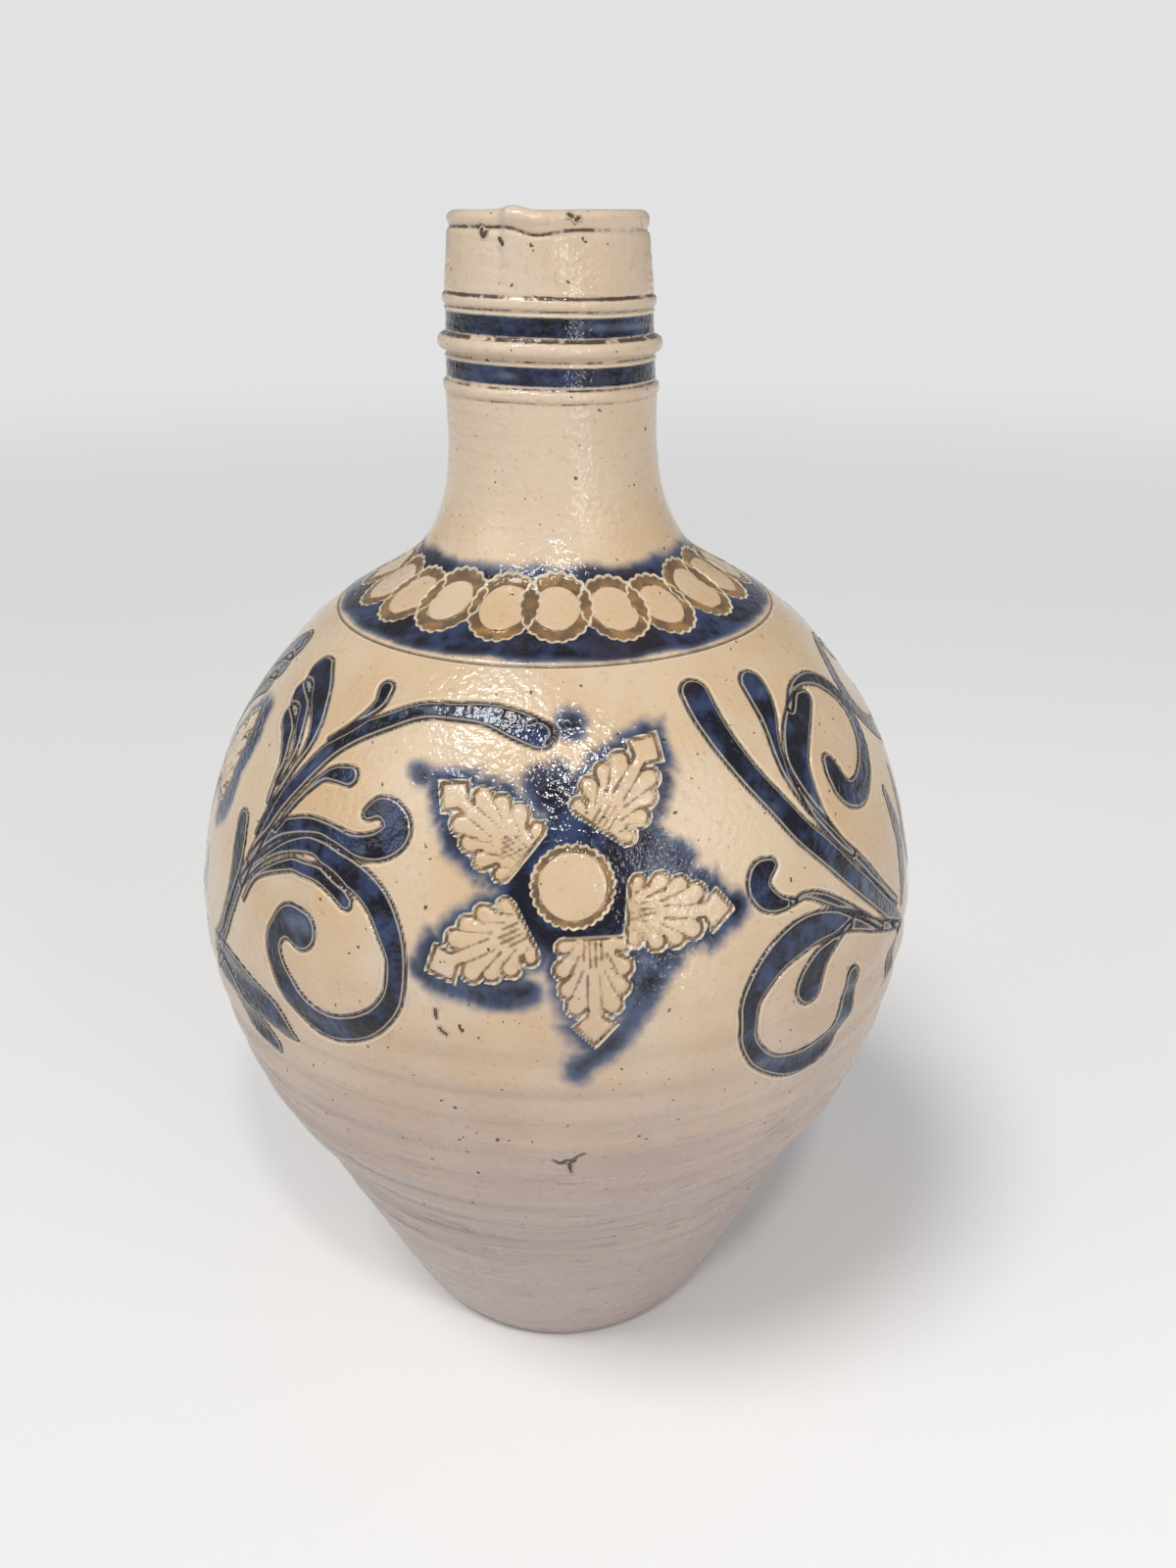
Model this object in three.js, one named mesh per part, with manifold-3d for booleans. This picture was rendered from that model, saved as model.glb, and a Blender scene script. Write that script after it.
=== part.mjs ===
// A tall salt-glazed stoneware jug, made as a potter makes one of this size: a foot section, a belly
// section and a neck section are thrown apart and luted together at two level seams, and a pulled strap
// handle is luted to the collar and the shoulder. Millimetres, +Z up, the origin under the middle of the
// foot, the pouring lip towards -Y and the handle towards +Y.
import * as THREE from 'three';
import { mergeVertices } from 'three/addons/utils/BufferGeometryUtils.js';
import Module from 'manifold-3d';

const wasm = await Module();
wasm.setup();

// Heights above the table
const jugHeight = 410;
const lowerSeamHeight = 99;
const bellyHeight = 182;
const upperSeamHeight = 288.5;
const neckRootRise = 9.5; // from the upper seam to where the neck starts to sweep up
const neckFlareRise = 44; // from there to where the neck runs upright

// Outside radii
const footRadius = 60;
const lowerSeamRadius = 104;
const bellyRadius = 130;
const upperSeamRadius = 74.2;
const neckRootRadius = 58;
const neckRadius = 34.2;
const collarTopRadius = 33;
const mouthRadius = 30.6;

// Clay
const bodyWall = 7.5;
const neckWall = 5.6;
const floorThickness = 11;
const footRounding = 2;
const luteGap = 0.3; // between the luted handle pieces and what they sit on

// Collar: beads and the flat bands between them, measured down from the rim
const lipRoll = 4.6;
const lipProud = 0.7;
const lipGroove = 0.5;
const collarTopDrop = 23;
const topBeadRise = 0.8;
const topBeadHeight = 3.6;
const ridgeDrop = 36.8;
const ridgeRise = 1.5;
const ridgeHeight = 5;
const footBeadDrop = 50;
const footBeadRise = 0.9;
const footBeadHeight = 4;
const bandSink = 0.4;

// Pouring lip
const spoutReach = 4.4;
const spoutDip = 1.6;
const spoutSpread = 0.33; // radians to each side
const spoutDepth = 24; // how far down the neck the pull reaches

// Handle
const strapWidthTop = 33;
const strapWidthFoot = 27;
const strapThickness = 10.5;
const strapRidge = 0.9;
const strapRidges = 3;
const handleRootDrop = 30; // below the rim
const handleArch = 7; // how far the strap climbs above its root
const handleInset = 38; // from the belly's widest line in to the strap's centre line
const handleFootDrop = 16.5; // below the upper seam
const wadProud = 6.5;
const wadFlare = 5;
const footWadSpread = 15; // up and down the shoulder from the middle of the lower root

const handleReach = bellyRadius - handleInset;
const handleFootHeight = upperSeamHeight - handleFootDrop;
const neckRootHeight = upperSeamHeight + neckRootRise;
const neckStart = neckRootHeight + neckFlareRise;
const seamInset = bodyWall * 1.5; // the wall's level width at the sloping upper seam

const turns = 64; // facets round the jug
const curveSteps = 9;

const stoneware = new THREE.MeshStandardMaterial({ color: 0xc9b591, roughness: 0.38, metalness: 0 });
const paleStoneware = new THREE.MeshStandardMaterial({ color: 0xb4aba2, roughness: 0.45, metalness: 0 });
const handleStoneware = new THREE.MeshStandardMaterial({ color: 0xbda987, roughness: 0.4, metalness: 0 });

// Outlines are drawn as (radius, height), from the foot up.
function footOutline() {
  const path = new THREE.Path();
  path.moveTo(footRadius - footRounding, 0);
  path.quadraticCurveTo(footRadius + footRounding / 3, 0, footRadius + footRounding / 2, footRounding);
  path.lineTo(lowerSeamRadius, lowerSeamHeight);
  return path.getPoints(3);
}

function bellyOutline() {
  const path = new THREE.Path();
  const rise = bellyHeight - lowerSeamHeight;
  const fall = upperSeamHeight - bellyHeight;
  const swell = bellyRadius - lowerSeamRadius;
  const draw = bellyRadius - upperSeamRadius;
  path.moveTo(lowerSeamRadius, lowerSeamHeight);
  path.bezierCurveTo(
    lowerSeamRadius + swell * 0.59, lowerSeamHeight + rise * 0.33,
    bellyRadius, lowerSeamHeight + rise * 0.65,
    bellyRadius, bellyHeight
  );
  path.bezierCurveTo(
    bellyRadius, bellyHeight + fall * 0.3,
    upperSeamRadius + draw * 0.82, bellyHeight + fall * 0.657,
    upperSeamRadius, upperSeamHeight
  );
  return path.getPoints(curveSteps);
}

// A raised bead on an upright stretch, drawn from the path's end up to height top.
function addBead(path, radius, top, height, rise) {
  path.lineTo(radius, top - height);
  path.quadraticCurveTo(radius + 2 * rise, top - height / 2, radius, top);
}

function neckOutline() {
  const path = new THREE.Path();
  const flare = neckRootRadius - neckRadius;
  const collarTop = jugHeight - collarTopDrop;
  const bandRadius = neckRadius - bandSink;
  path.moveTo(upperSeamRadius, upperSeamHeight);
  path.lineTo(neckRootRadius, neckRootHeight);
  path.bezierCurveTo(
    neckRadius + flare * 0.41, neckRootHeight + neckFlareRise * 0.18,
    neckRadius, neckRootHeight + neckFlareRise * 0.46,
    neckRadius, neckStart
  );
  addBead(path, neckRadius, jugHeight - footBeadDrop + footBeadHeight / 2, footBeadHeight, footBeadRise);
  addBead(path, bandRadius, jugHeight - ridgeDrop + ridgeHeight / 2, ridgeHeight, ridgeRise + bandSink);
  path.lineTo(collarTopRadius + bandSink, collarTop - topBeadHeight - bandSink);
  addBead(path, collarTopRadius, collarTop, topBeadHeight, topBeadRise);
  path.lineTo(mouthRadius, jugHeight - lipRoll - lipGroove);
  path.lineTo(mouthRadius - lipGroove, jugHeight - lipRoll);
  path.bezierCurveTo(
    mouthRadius + lipProud * 2, jugHeight - lipRoll,
    mouthRadius + lipProud, jugHeight,
    mouthRadius - neckWall / 2, jugHeight
  );
  return path.getPoints(5);
}

// The outline moved by distance along its normals: outwards if positive, into the clay if negative.
function offsetOutline(points, distance) {
  return points.map((point, i) => {
    const before = points[Math.max(i - 1, 0)];
    const after = points[Math.min(i + 1, points.length - 1)];
    const along = after.clone().sub(before).normalize();
    return new THREE.Vector2(point.x + along.y * distance, point.y - along.x * distance);
  });
}

// Turns a closed half-section round the jug's axis.
function turn(profile) {
  const geometry = new THREE.LatheGeometry(profile, turns);
  geometry.rotateX(Math.PI / 2);
  return geometry;
}

function footSection() {
  const outer = footOutline();
  const seamInside = lowerSeamRadius - bodyWall;
  const cornerRadius = footRadius - bodyWall;
  const inner = [
    new THREE.Vector2(seamInside, lowerSeamHeight),
    new THREE.Vector2(cornerRadius + bodyWall / 2, floorThickness + bodyWall),
    new THREE.Vector2(cornerRadius, floorThickness + bodyWall / 3),
    new THREE.Vector2(cornerRadius - bodyWall, floorThickness),
    new THREE.Vector2(0, floorThickness)
  ];
  return turn([new THREE.Vector2(0, 0), ...outer, ...inner]);
}

function bellySection() {
  const outer = bellyOutline();
  const inside = offsetOutline(outer, -bodyWall);
  inside[0].set(lowerSeamRadius - bodyWall, lowerSeamHeight);
  inside[inside.length - 1].set(upperSeamRadius - seamInset, upperSeamHeight);
  const inner = inside.filter((point) => point.y > lowerSeamHeight || point === inside[0]);
  return turn([...outer, ...inner.reverse(), outer[0]]);
}

// Share of the pour's pull at a place on the neck: full at the lip's front, none away from it.
function spoutPull(x, y, z) {
  const turned = Math.atan2(x, -y) / spoutSpread;
  const down = (jugHeight - z) / spoutDepth;
  if (Math.abs(turned) > 3 || down > 1) {
    return 0;
  }
  return Math.exp(-turned * turned) * (1 - down) ** 2;
}

function neckSection() {
  const outer = neckOutline();
  const bore = neckRadius - neckWall;
  const rootInside = neckRootRadius - bodyWall / 2;
  const rootFlare = rootInside - bore;
  const mouthBore = mouthRadius - neckWall;
  const path = new THREE.Path();
  path.moveTo(outer[outer.length - 1].x, jugHeight);
  path.quadraticCurveTo(mouthBore, jugHeight, mouthBore, jugHeight - neckWall / 2);
  path.lineTo(bore - (bore - mouthBore) / 3, jugHeight - collarTopDrop);
  path.lineTo(bore, jugHeight - footBeadDrop);
  path.lineTo(bore, neckStart);
  path.bezierCurveTo(
    bore, neckRootHeight + neckFlareRise * 0.4,
    bore + rootFlare * 0.36, neckRootHeight + neckFlareRise * 0.04,
    rootInside, neckRootHeight - bodyWall * 0.8
  );
  path.lineTo(upperSeamRadius - seamInset, upperSeamHeight);
  const inner = path.getPoints(5).slice(1);
  const geometry = turn([...outer, ...inner, outer[0]]);
  const place = geometry.getAttribute('position');
  for (let i = 0; i < place.count; i++) {
    const [x, y, z] = [place.getX(i), place.getY(i), place.getZ(i)];
    const pull = spoutPull(x, y, z);
    place.setXYZ(i, x, y - spoutReach * pull, z - spoutDip * pull);
  }
  return geometry;
}

// A closed mesh as a solid that can be joined and cut.
function solidOf(geometry) {
  const bare = geometry.index ? geometry.clone() : geometry;
  bare.deleteAttribute('normal');
  bare.deleteAttribute('uv');
  const merged = mergeVertices(bare, 1e-4);
  return new wasm.Manifold(new wasm.Mesh({
    numProp: 3,
    vertProperties: new Float32Array(merged.getAttribute('position').array),
    triVerts: new Uint32Array(merged.index.array)
  }));
}

function geometryOf(solid) {
  const { vertProperties, triVerts } = solid.getMesh();
  const geometry = new THREE.BufferGeometry();
  geometry.setAttribute('position', new THREE.BufferAttribute(vertProperties, 3));
  geometry.setIndex(new THREE.BufferAttribute(triVerts, 1));
  return geometry;
}

// The outside of all three sections, from the foot up.
function jugOutline() {
  return [...footOutline(), ...bellyOutline().slice(1), ...neckOutline().slice(1)];
}

// The whole jug filled in and a little larger, which cuts what is luted to it.
function jugWithClearance() {
  const grown = offsetOutline(jugOutline(), luteGap).filter((point) => point.y > footRounding);
  return solidOf(turn([
    new THREE.Vector2(0, grown[0].y), ...grown, new THREE.Vector2(0, grown[grown.length - 1].y)
  ]));
}

// Radius of the jug's outside at a height.
function outsideRadius(height) {
  const points = jugOutline();
  const i = Math.max(points.findIndex((point) => point.y > height), 1);
  const [low, high] = [points[i - 1], points[i]];
  return low.x + (high.x - low.x) * (height - low.y) / (high.y - low.y);
}

// The strap's centre line, in the plane of symmetry, from inside the collar to inside the shoulder.
function strapLine() {
  const rootHeight = jugHeight - handleRootDrop;
  const rootDepth = collarTopRadius - neckWall / 2;
  const footDepth = outsideRadius(handleFootHeight) - bodyWall * 0.8;
  const span = handleReach - neckRadius;
  const drop = rootHeight - handleFootHeight;
  return new THREE.CatmullRomCurve3([
    new THREE.Vector3(0, rootDepth, rootHeight - handleArch / 2),
    new THREE.Vector3(0, neckRadius + span * 0.35, rootHeight + handleArch * 0.8),
    new THREE.Vector3(0, neckRadius + span * 0.75, rootHeight + handleArch * 0.1),
    new THREE.Vector3(0, handleReach - span * 0.04, rootHeight - drop * 0.2),
    new THREE.Vector3(0, handleReach, rootHeight - drop * 0.45),
    new THREE.Vector3(0, handleReach - span * 0.04, rootHeight - drop * 0.74),
    new THREE.Vector3(0, footDepth, handleFootHeight - bodyWall / 2)
  ]);
}

// A strap swept along its line: a flat oval section, narrowing downwards, ridged along its outer face.
function strapSolid(extra) {
  const line = strapLine();
  const along = 22;
  const around = 20;
  const geometry = new THREE.CylinderGeometry(1, 1, 1, around, along);
  const place = geometry.getAttribute('position');
  for (let i = 0; i < place.count; i++) {
    const share = place.getY(i) + 0.5;
    const angle = Math.atan2(place.getZ(i), place.getX(i));
    const edge = Math.hypot(place.getX(i), place.getZ(i)); // 0 in the middle of an end cap
    const halfWidth = THREE.MathUtils.lerp(strapWidthTop, strapWidthFoot, share) / 2 + extra;
    const outerFace = Math.sin(angle) > 0 ? 1 : 0;
    const ridge = outerFace * strapRidge * Math.sin(angle) * Math.cos(strapRidges * 2 * angle + Math.PI);
    const halfThickness = strapThickness / 2 + extra + ridge;
    const centre = line.getPoint(share);
    const tangent = line.getTangent(share);
    const outward = new THREE.Vector3(0, tangent.z, -tangent.y).negate();
    const across = edge * Math.sign(Math.cos(angle)) * Math.abs(Math.cos(angle)) ** 0.7 * halfWidth;
    const out = edge * Math.sign(Math.sin(angle)) * Math.abs(Math.sin(angle)) ** 0.8 * halfThickness;
    place.setXYZ(i, across, centre.y + outward.y * out, centre.z + outward.z * out);
  }
  const solid = solidOf(geometry);
  return solid.volume() < 0 ? solidOf(flipped(geometry)) : solid;
}

// The same surface with its faces turned the other way.
function flipped(geometry) {
  const index = geometry.index.array;
  for (let i = 0; i < index.length; i += 3) {
    [index[i], index[i + 1]] = [index[i + 1], index[i]];
  }
  return geometry;
}

// The cuts can leave crumbs beside the wad, so only its biggest body is kept.
function biggestBody(solid) {
  return solid.decompose().reduce((big, body) => (body.volume() > big.volume() ? body : big));
}

// A soft wad of clay pressed round one root of the strap.
function wad(centre, halfWidth, halfDepth, halfHeight, tilt) {
  const ball = new THREE.SphereGeometry(1, 24, 14);
  ball.scale(halfWidth, halfDepth, halfHeight);
  ball.rotateX(tilt);
  ball.translate(centre.x, centre.y, centre.z);
  return biggestBody(solidOf(ball).subtract(strapSolid(luteGap)).subtract(jug));
}

// Angle by which the shoulder falls away from level at a height.
function shoulderSlope(height) {
  const span = 4;
  return Math.atan2(2 * span, outsideRadius(height - span) - outsideRadius(height + span));
}

const jug = jugWithClearance();
const strap = strapSolid(0).subtract(jug);

const topWad = wad(
  new THREE.Vector3(0, collarTopRadius, jugHeight - handleRootDrop),
  strapWidthTop / 2 + wadFlare, wadProud, strapThickness / 2 + wadFlare, 0
);
const footWadDepth = outsideRadius(handleFootHeight);
const footWad = wad(
  new THREE.Vector3(0, footWadDepth, handleFootHeight),
  strapWidthFoot / 2 + wadFlare, footWadSpread, wadProud, -shoulderSlope(handleFootHeight)
);

const group = new THREE.Group();

function add(name, geometry, material) {
  const mesh = new THREE.Mesh(geometry, material);
  mesh.name = name;
  group.add(mesh);
}

add('foot_section', footSection(), paleStoneware);
add('belly_section', bellySection(), stoneware);
add('neck_section', neckSection(), stoneware);
add('handle_strap', geometryOf(strap), handleStoneware);
add('handle_top_wad', geometryOf(topWad), handleStoneware);
add('handle_foot_wad', geometryOf(footWad), handleStoneware);

export default group;
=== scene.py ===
import math
import bpy
import numpy as np
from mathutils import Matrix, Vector


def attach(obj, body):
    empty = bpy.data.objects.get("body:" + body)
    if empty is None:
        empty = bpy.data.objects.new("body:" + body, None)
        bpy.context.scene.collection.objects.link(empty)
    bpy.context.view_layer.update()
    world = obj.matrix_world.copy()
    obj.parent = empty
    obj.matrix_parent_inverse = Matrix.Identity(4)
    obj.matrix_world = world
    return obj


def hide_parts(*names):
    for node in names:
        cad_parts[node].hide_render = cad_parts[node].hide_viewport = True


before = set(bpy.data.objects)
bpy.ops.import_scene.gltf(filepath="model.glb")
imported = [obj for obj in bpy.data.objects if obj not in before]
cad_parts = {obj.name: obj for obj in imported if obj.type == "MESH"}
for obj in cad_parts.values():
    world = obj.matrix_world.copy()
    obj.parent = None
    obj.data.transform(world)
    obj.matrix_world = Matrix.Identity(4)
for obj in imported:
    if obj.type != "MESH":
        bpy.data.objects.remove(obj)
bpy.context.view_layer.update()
mm = 0.001

# Everything is measured in millimetres and degrees: azimuth 0 faces the pouring lip at -Y, and grows
# towards +X. Heights are above the table.

# Body
body = {
    "outline": [  # height and radius of the outside
        (0, 59.6), (2.5, 61.6), (12, 67.2), (29, 75.0), (45, 81.9), (61, 88.6), (78, 95.6), (92, 101.2),
        (98, 103.2), (100, 104.4), (110, 110.6), (123, 117.2), (148, 124.9), (172, 129.0), (184, 129.6),
        (197, 128.8), (221, 123.3), (242, 114.8), (258, 104.5), (275, 90.4), (287, 76.8), (295, 63.8),
        (303, 50.2), (311, 42.8), (324, 36.8), (340, 34.3), (357, 34.2), (372, 33.7), (387, 32.9),
        (404, 31.2), (411, 30.7),
    ],
    "wall": 7.2,
    "floor": 11,
    "wobble": 0.35,      # how far the hand-thrown wall strays
    "ridge": 0.24,       # height of the throwing rings on the lower half
    "swell": 0.6,        # height of the broad swellings between the potter's fingers
    "neckLean": -1.0,    # the collar sits this far towards -X
    "collarTilt": 1.1,   # the collar's rings fall towards -X, in degrees
}
seams = {"foot": 99.0, "neck": 286.0}
rimHeight = 411
friezeTop = 326.0        # the neck's mesh is finer below this height
collarFoot = 345         # the collar's mouldings begin above this height

# Grid steps along the surface, and columns in a full turn
steps = {"ornament": 0.85, "plain": 1.7, "frieze": 0.7, "neck": 0.55, "foot": 1.5}
turnColumns = {"foot": 400, "neck": 340, "frieze": 560, "inside": 120, "underside": 160}
ornamentSpan = (-112.0, 136.0)
bellyRadius = 126

# Collar: raised beads, sunk bands and grooves, as height, half height and depth or rise
collar = {
    "beads": [(384.6, 1.8, 0.8), (372.0, 2.5, 2.6), (358.9, 1.8, 0.85)],
    "bands": [(375.5, 381.3), (361.8, 367.4)],
    "bandDepth": 0.45, "radius": 34, "uneven": 0.25, "lipFrom": 400,
    "grooves": [(386.4, 0.55, 0.35), (382.6, 0.5, 0.5), (374.7, 0.6, 0.4), (368.7, 0.7, 0.45),
                (360.9, 0.5, 0.45), (404.8, 0.7, 0.85)],
    "stained": [(386.4, 0.7), (382.8, 0.4), (374.7, 0.75), (368.8, 0.4), (360.9, 0.45), (357.0, 0.3),
                (404.9, 0.6)],
    # Painted highlights: pale lines just above the upper edge of each sunk band
    "highlightEdges": [381.7, 367.8],
}

# Pouring lip: pinched out between a sharp crease on its left and a soft slope on its right
lip = {
    "crease": -13.5, "soft": 30, "middle": 5, "reach": 2.6, "depth": 15,
    "peak": 0.9, "peakAt": -7, "peakHalf": 7, "dip": 0.7, "dipAt": 8, "dipHalf": 11, "bendsFor": 9,
    "grooveSag": 1.4, "sagHalf": 13,
    "roll": 1.5, "rollHeight": 408.5, "rollAt": 2, "rollHalf": 15,
}

# Ornament: each brushed and cut leaf is (azimuth, height, half width) from its root to its tip.
# The scrolls left of the star:
leftScrolls = {
    "arch": [(-52, 174, 1.2), (-47, 193, 2), (-40.1, 231, 2.3), (-37.5, 245, 3), (-32, 261, 3.3),
             (-27.5, 268, 3.4), (-21.5, 273, 3.1), (-15, 277, 3), (-8, 278, 3.1), (-1.2, 278, 3.9),
             (4.5, 276, 4.8), (8.6, 274, 4.7)],
    "bigBud": [(-41, 234, 1.2), (-38, 254, 1.2), (-37, 262, 2), (-38.2, 268, 3.3), (-42, 274, 5),
               (-47, 277.5, 6.4)],
    "middleBud": [(-40, 250, 1.1), (-39.7, 258, 1.6), (-41.2, 263, 2.2), (-44, 267.5, 3.6),
                  (-48, 271, 5.2)],
    "smallBud": [(-40.7, 244, 1.1), (-41.4, 254, 1.7), (-44, 260.5, 2.8), (-47, 265, 4.4)],
    "archBud": [(-32.7, 265, 0.8), (-28.8, 270, 1.2), (-26.2, 274, 1.6), (-24.8, 277, 2.4),
                (-25.1, 280, 3)],
    "droplet": [(-36.4, 239, 0.9), (-33.3, 249, 1.1), (-30.1, 256, 1.6), (-27.5, 258, 2.8),
                (-24.6, 258.6, 3.4)],
    "hook": [(-41, 226, 1.5), (-35.4, 238, 3.4), (-31.9, 242, 3.2), (-28.6, 244, 2.9), (-24.5, 244, 2.9),
             (-21, 243, 3.2), (-18, 243, 4), (-15.3, 244.4, 4.7), (-13.3, 247.4, 5),
             (-13.3, 250.5, 4.6), (-15, 253, 4), (-17, 253.4, 3.4), (-18.6, 251.4, 2.4)],
    "curl": [(-42, 218, 1.6), (-38.7, 227, 1.9), (-33.8, 235, 2.7), (-27.5, 239, 3.1), (-24, 238, 3.9),
             (-20.7, 236, 4.5), (-17.5, 234, 4.5), (-15, 231, 4.6), (-13.2, 227, 4.6), (-11.6, 221, 4.3),
             (-10.6, 215, 3.5), (-10.5, 207, 3.4), (-11.2, 201, 3.7), (-13.3, 195, 4),
             (-16.3, 190.5, 4.5), (-19.8, 188, 4.6), (-23.3, 188.4, 4.6), (-26.7, 191.5, 4.5),
             (-29.2, 196, 4.2), (-31.2, 201, 4), (-32.2, 207, 4), (-31.2, 212, 4.2),
             (-29.2, 215.4, 5.8), (-26.8, 214.6, 6.6)],
    "inner": [(-41, 213, 1), (-38.2, 223, 1.2), (-31.6, 231, 2.3), (-28, 232, 2.6), (-24.5, 232, 2.9),
              (-21.5, 230, 3), (-19.3, 227.3, 2.6)],
    "lowLeaf": [(-50, 190, 2.5), (-43, 187, 5.4), (-36.5, 183, 6.2), (-31.3, 179.4, 5),
                (-28.3, 176.8, 2.2)],
    "lowerLeaf": [(-52, 184, 2.5), (-45, 178, 4.6), (-38.5, 172, 4.8), (-33, 167.5, 2.6)],
    "spike": [(-50, 190, 1.5), (-46.6, 203, 2), (-45, 217, 3.2), (-45.2, 226, 4.4), (-46.2, 234, 4)],
}

# The scrolls right of the star:
rightScrolls = {
    "blade": [(77, 184, 1.6), (72.8, 194, 3.2), (66.7, 207, 3.8), (60.4, 220, 4.1), (55.6, 231, 4.4),
              (51, 241, 4.4), (47.8, 250, 4.3), (44.6, 259, 4.3), (42, 268, 4.6), (40.6, 275, 5),
              (40.3, 280, 5)],
    "bud": [(74, 199, 1.2), (68.5, 210, 1.7), (63.2, 223, 1.9), (58.8, 233, 1.8), (55.4, 242, 1.7),
            (53.3, 249, 1.9), (52.2, 256, 1.9), (52.4, 262, 2.1), (53.4, 267, 2.8), (54.4, 271, 4),
            (55, 275, 5), (55.2, 278.5, 5)],
    "hook": [(61, 228, 1.4), (58.8, 233, 1.8), (56.2, 241, 2.7), (55.4, 246, 3.4), (55.2, 252, 4.2),
             (56, 258, 5.2), (58.4, 263, 5.8), (61.6, 266.6, 5.6), (65, 269, 4.6), (68, 270, 2.8)],
    "loop": [(61, 270, 1.3), (65, 273.4, 1.5), (70, 274, 2.2), (75.1, 272, 3), (79.3, 267, 3.6),
             (80.9, 261, 3.8), (80, 255, 4), (77, 249, 4.2), (72.7, 244.3, 4.6), (68.6, 241.8, 5),
             (65.5, 243, 4.8), (63.9, 246, 5), (63.4, 250, 4.6), (63.4, 253.5, 3.2)],
    "kidney": [(43.4, 235.6, 2.6), (41.6, 234.4, 4.2), (40.7, 231, 4.3), (41.7, 227, 4.1),
               (43.8, 224.4, 2.7), (46.2, 223.6, 1.3)],
    "wisp": [(46.2, 223.4, 1.2), (49, 223.6, 1.4), (52.2, 220.6, 1.9), (56.2, 215, 1.8), (60.7, 208, 1.4),
             (66.5, 198, 1.1)],
    "curl": [(74, 190, 1.2), (65.4, 199.4, 2.2), (59, 207, 3), (54.4, 211, 4), (50, 213, 5.2),
             (46.2, 212.3, 5.8), (42.4, 209.3, 5.2), (39.4, 204, 4.5), (37.5, 198, 3.7),
             (37, 190.5, 3.2), (37.8, 182, 3.3), (40.4, 174.6, 3.7), (44.4, 169.6, 4.2),
             (48.6, 168, 4.6), (52.6, 170, 4.6), (55.3, 176, 4.3), (56.8, 183, 4), (57.2, 190, 3.8)],
    "drop": [(57.5, 208, 1), (54.8, 206.6, 1.4), (52.6, 205, 2.4), (50.3, 203, 3.7), (48.5, 199, 5.2),
             (47.5, 195.6, 5.6)],
    "edgeLeaf": [(77, 196, 2), (79, 205, 4), (80, 215, 4.4), (79.2, 226, 3.4), (78.6, 234, 1.8)],
    "lowLeaf": [(76, 188, 1.6), (72.6, 183, 3.2), (70.6, 177, 3.8), (70, 171, 2)],
}

# Round the sides, where the photo doesn't show them, both sprays are mirrored about their roots, so that
# each makes a pair, and a single stamped leaf stands over the left root.
starAzimuth = 13.5
mirrorAzimuths = {"left": -57.0, "right": 83.0}
sideLeaves = [(-63, 232, 6)]
sideWashes = [
    [(-57.5, 261, 4.6), (-55.4, 251, 5.8), (-54.7, 242, 6.2), (-55.2, 234, 6.4), (-58, 227, 6.2)],
    [(-60.6, 210, 2.0), (-60, 204, 3.2), (-60.6, 198, 2.0)],
]

# A loop cut inside the arch's round end with a wash over it, and small iron marks where a splash burned in
archWash = (14.2, 276, 5.6)
archCurl = [(6.4, 276.6), (8.2, 277.2), (10.2, 276.0), (10.8, 274.0), (9.8, 272.2)]
ironMarks = [[(10.2, 147.6), (11.4, 145.8), (12.4, 147.6), (13.2, 146.6), (13.6, 149.6), (14.6, 151.4)],
             [(12.9, 142.4), (12.5, 145.4)], [(-4.7, 202.5), (-4.5, 200)], [(-4.1, 197), (-3.1, 195.4)],
             [(-1.4, 198.6), (-1.0, 197.2)],
             [(-27, 404.6), (-25, 402.6), (-23.4, 403.8)], [(-14.6, 402), (-12.2, 400.6)],
             [(22.5, 408.5), (24.2, 408)], [(26.2, 407.2), (28, 407.5)]]

# Star: five stamped leaves round a scalloped disc, as azimuth offset, rise along the wall and lean
star = {
    "middle": 238.5,
    "disc": 9.6, "scallopRadius": 11.6, "scallops": 27, "scallopRise": 0.4,
    "leafTurns": [(4.15, 16.2, 36), (7.45, -7.7, 98), (2.45, -14.8, 180), (-6.45, -11.7, 243),
                  (-6.7, 8.5, -53)],
    "wash": 23, "leafWash": 4.4,
    "washes": [(14.2, 42.5, 5), (13.6, 20, 4), (10.5, 9, 9), (15, 5, 6.6), (22.6, -12, 7), (12, -22, 7),
               (-24.6, 29, 4.4), (-1.6, 33, 5), (-3.3, 27, 9), (-1, 20, 8)],
    "trails": [
        [(10.5, -27, 5.6), (8, -36, 4.8), (6.2, -42, 4.6), (4, -47.5, 4.8), (2.2, -51.5, 4.8),
         (0.5, -54.8, 5.6)],
        [(-21, -26, 3.4), (-18, -29.5, 4.2), (-12.2, -32, 4.4), (-6, -30, 6)],
        [(-13.5, 1, 2.6), (-10, -1, 3.4), (-6, -2.5, 5)],
    ],
}

# The leaf stamp: a straight foot, four round lobes to a side and a square tip that stands on its corner.
# Lobes are how far across, how far along, and radius.
leafShape = {
    "lobes": [(8.3, 2.3, 2.2), (8.4, 8.8, 2.9), (7.3, 14.6, 2.9), (5.1, 19.6, 3.1)],
    "veins": [((2.0, 21.5), (1.8, 10.5)), ((6.6, 17.2), (3.0, 9.0)), ((7.4, 11.7), (4.0, 4.6)),
              ((7.4, 5.3), (5.2, 1.6)), ((0.8, 8), (0.8, 0.8)), ((2.6, 6), (2.4, 0.8))],
    "footHalf": 7.6, "taper": 0.16, "bodyEnd": 21, "stalkHalf": 2.3, "stalkEnd": 26,
    "neckHalf": 1.7, "neck": 22.5, "shoulder": 6.0, "shoulderAlong": 26, "tip": 32, "tipStart": 16,
    "lobeStart": (0.3, 0.75), "footCut": 0.2, "veinHalf": 0.55, "reach": 38,
}

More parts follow.
